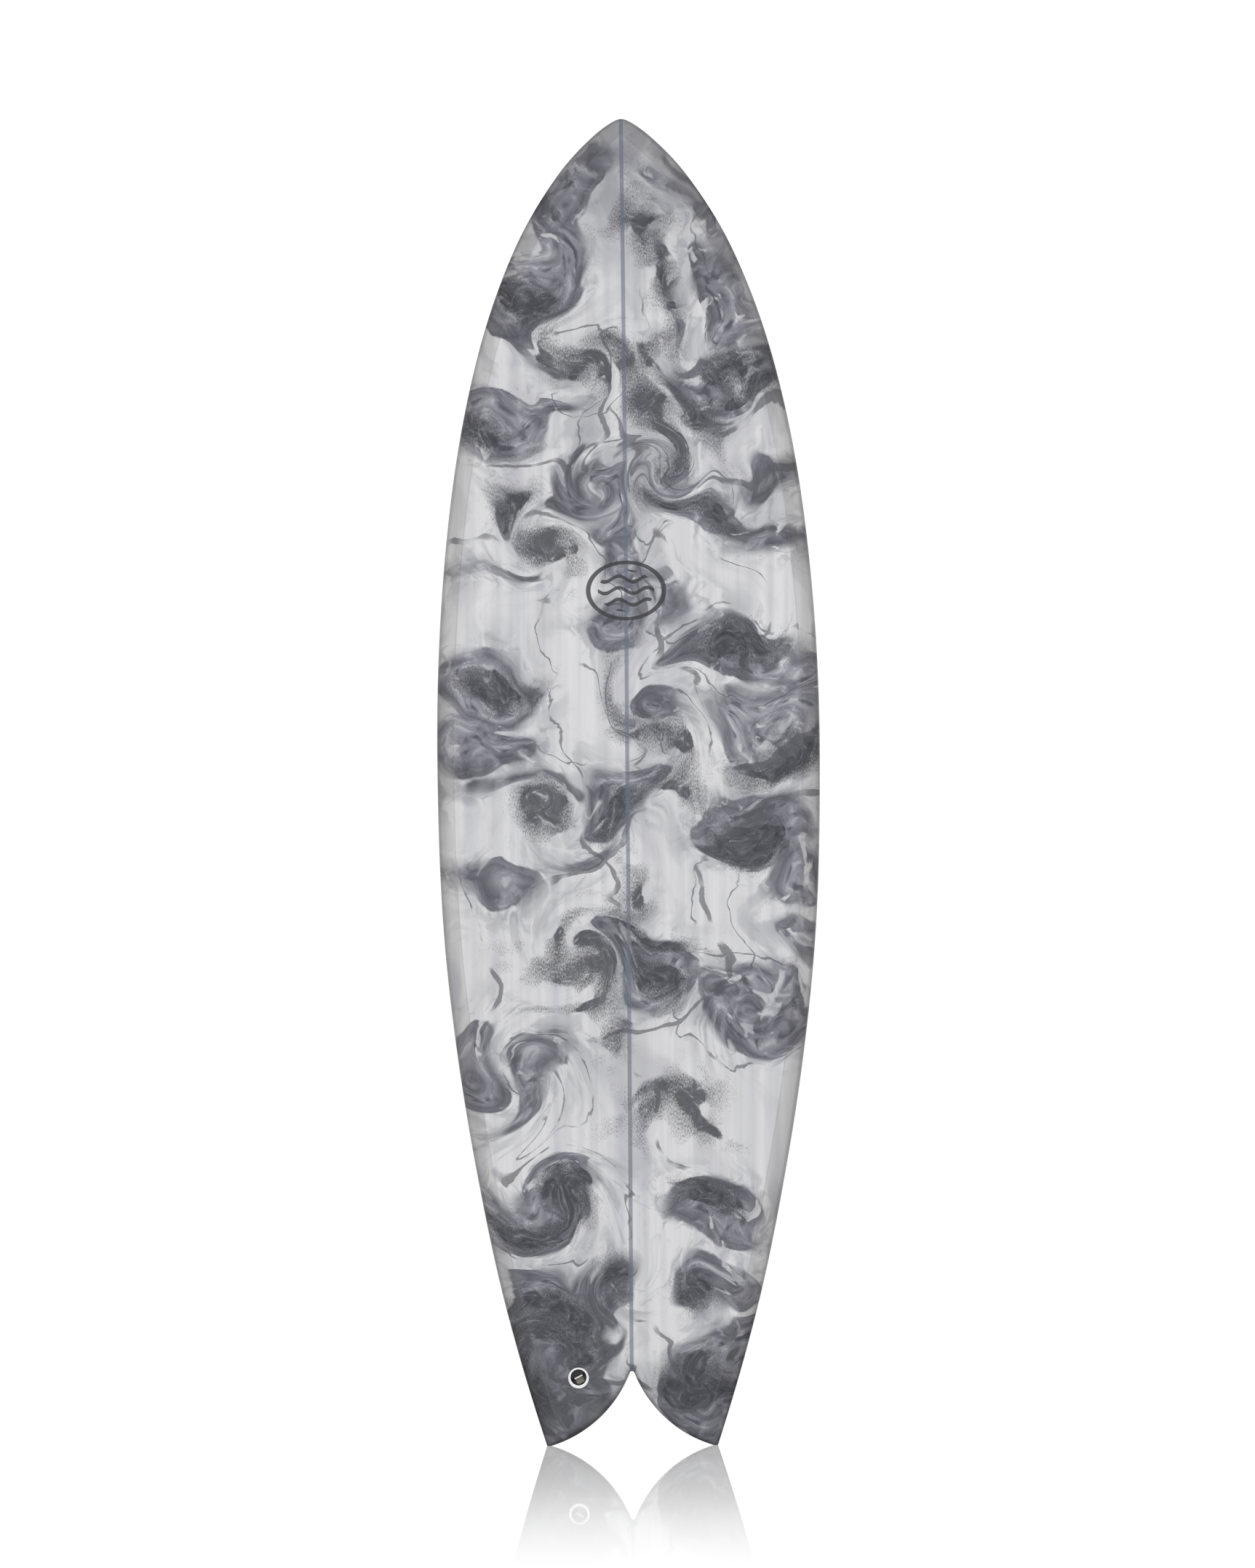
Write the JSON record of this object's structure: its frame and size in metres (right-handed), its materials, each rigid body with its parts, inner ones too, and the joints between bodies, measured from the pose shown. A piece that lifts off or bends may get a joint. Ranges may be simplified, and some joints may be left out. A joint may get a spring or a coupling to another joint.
{
  "type": "surfboard",
  "caption": "Swallow-tailed fish surfboard with a pointed nose, resin-swirl glass over a foam blank with a stringer, a leash plug and removable keel fins.",
  "frame": {"origin": "on the floor between the two tail tips, under the middle of the object's box, with the board standing on its tail", "axes": "+Z from the tail tips to the nose, -Y is the side the deck faces, +Y the side the bottom and fins face, +X to the right as the deck is looked at"},
  "size_m": [0.5294, 0.2185, 1.8287],
  "materials": {
    "foam": "matte closed-cell foam",
    "stringer": "blue-grey stained strip",
    "deck_glass": "polished tinted resin with grey and black swirls",
    "bottom_glass": "polished tinted resin with grey and black swirls",
    "resin": "sanded clear and tinted resin",
    "white_plastic": "sanded",
    "black_plastic": "moulded",
    "grey_plastic": "moulded",
    "steel": "stainless",
    "fin": "fibreglass laminate, sanded and gloss coated"
  },
  "bodies": {
    "board": {"foam_blank_left": "foam", "foam_blank_right": "foam", "stringer": "stringer", "deck_glass": "deck_glass", "bottom_glass": "bottom_glass", "tail_tip_left": "resin", "tail_tip_right": "resin", "leash_plug_flange": "white_plastic", "leash_plug_cup": "black_plastic", "leash_plug_pin": "steel", "leash_plug_pad": "grey_plastic", "leash_plug_setting": "resin", "fin_plug_left_front": "white_plastic", "fin_plug_left_rear": "white_plastic", "fin_plug_right_front": "white_plastic", "fin_plug_right_rear": "white_plastic", "fin_screw_left_front": "steel", "fin_screw_left_rear": "steel", "fin_screw_right_front": "steel", "fin_screw_right_rear": "steel", "fin_setting_left_front": "resin", "fin_setting_left_rear": "resin", "fin_setting_right_front": "resin", "fin_setting_right_rear": "resin"},
    "fin_left": {"keel_fin_left": "fin"},
    "fin_right": {"keel_fin_right": "fin"}
  },
  "joints": [
    {"name": "left_fin_slide", "type": "slide", "parent": "board", "child": "fin_left", "axis": [-0.0698, 0.9946, -0.0769], "range_m": [0, 0.025]},
    {"name": "right_fin_slide", "type": "slide", "parent": "board", "child": "fin_right", "axis": [0.0698, 0.9946, -0.0769], "range_m": [0, 0.025]}
  ]
}
